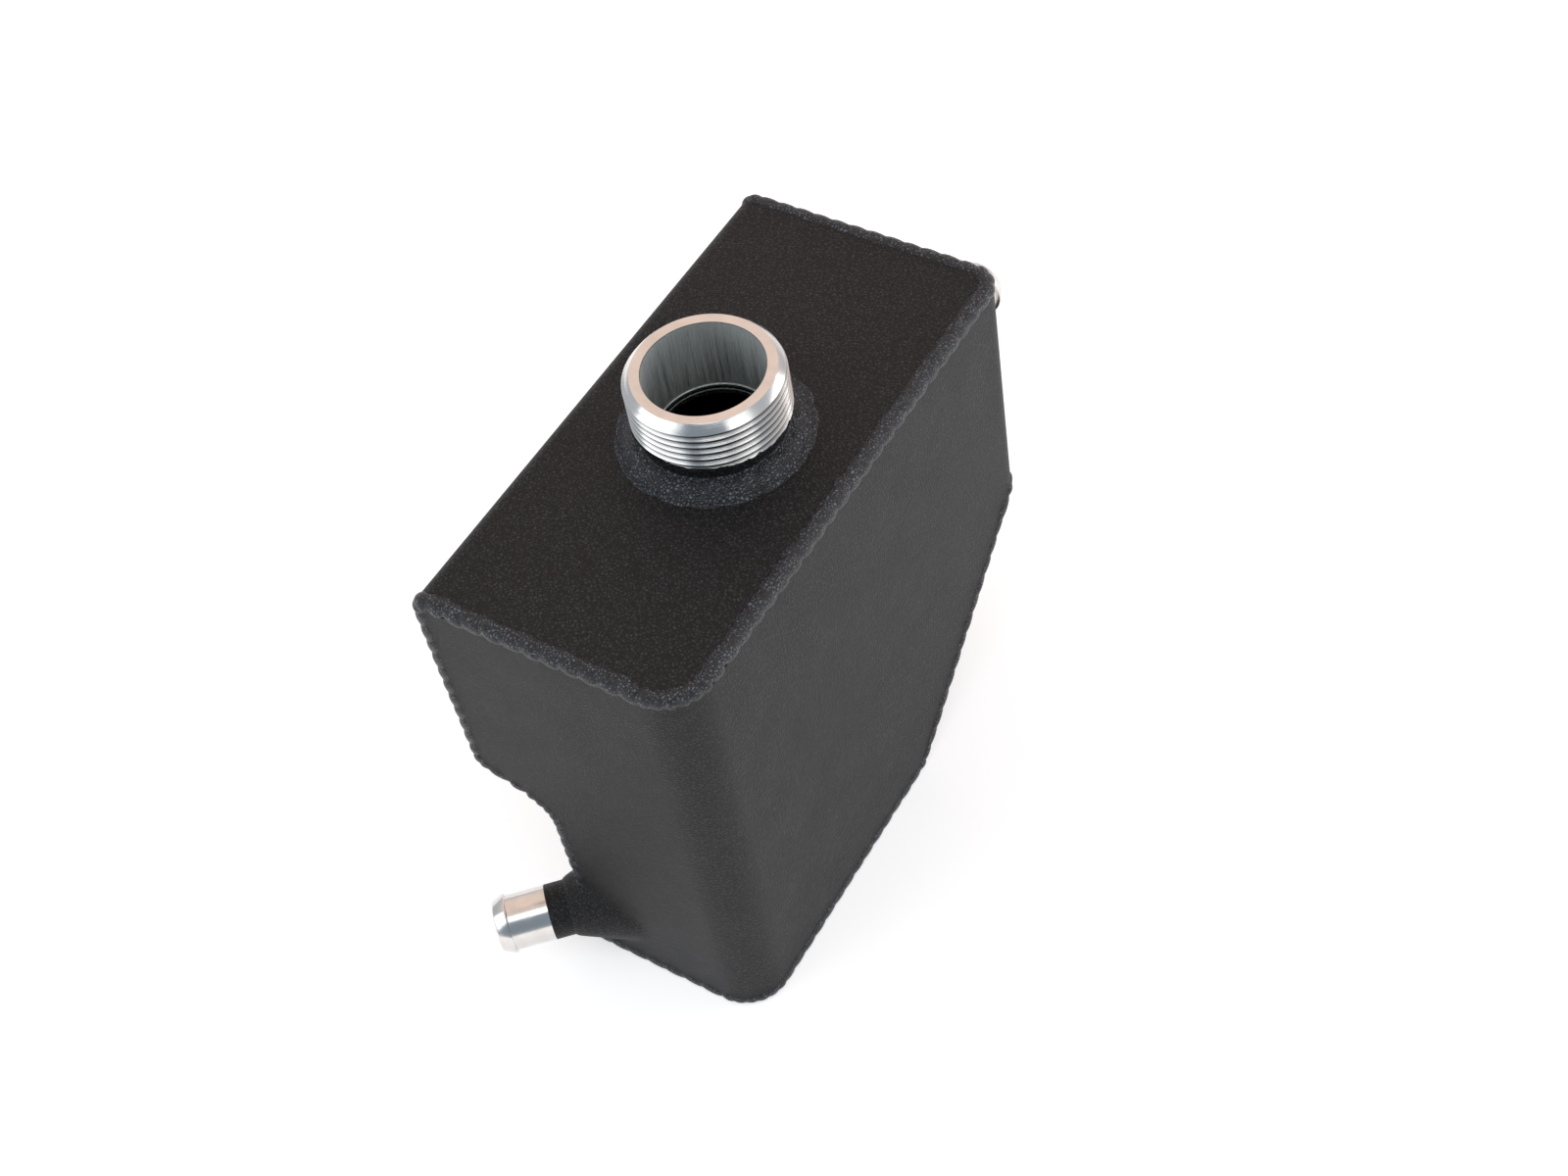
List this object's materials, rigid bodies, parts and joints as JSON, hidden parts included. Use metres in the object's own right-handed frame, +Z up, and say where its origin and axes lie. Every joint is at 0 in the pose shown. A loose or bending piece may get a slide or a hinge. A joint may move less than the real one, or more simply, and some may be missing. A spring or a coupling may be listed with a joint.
{
  "type": "supercharger coolant tank",
  "caption": "Welded sheet metal coolant tank with a threaded filler neck on top, hose barbs at its front corner and rear wall, a stepped side and a ramped underside.",
  "frame": {"origin": "on the filler neck's axis, in the plane of the flat underside", "axes": "+Z up along the filler neck, +Y to the rear wall with the straight barb, +X to the plain side, away from the step"},
  "size_m": [0.0986, 0.2444, 0.2063],
  "materials": {
    "wrinkle_coat": "black wrinkle powder coat on aluminium",
    "bare_aluminium": "bare turned aluminium"
  },
  "bodies": {
    "root": {"side_wrap": "wrinkle_coat", "top_left_shell": "wrinkle_coat", "bottom_plate": "wrinkle_coat", "filler_neck_weld": "wrinkle_coat", "front_barb_weld": "wrinkle_coat", "rear_barb_weld": "wrinkle_coat", "top_front_weld": "wrinkle_coat", "top_right_weld": "wrinkle_coat", "top_rear_weld": "wrinkle_coat", "front_left_weld": "wrinkle_coat", "front_shelf_weld": "wrinkle_coat", "front_lower_weld": "wrinkle_coat", "rear_left_weld": "wrinkle_coat", "rear_shelf_weld": "wrinkle_coat", "bottom_front_weld": "wrinkle_coat", "bottom_right_weld": "wrinkle_coat", "bottom_left_weld": "wrinkle_coat", "ramp_right_weld": "wrinkle_coat", "ramp_left_weld": "wrinkle_coat", "ramp_rear_weld": "wrinkle_coat", "filler_neck": "bare_aluminium", "front_hose_barb": "bare_aluminium", "rear_hose_barb": "bare_aluminium"}
  },
  "joints": []
}
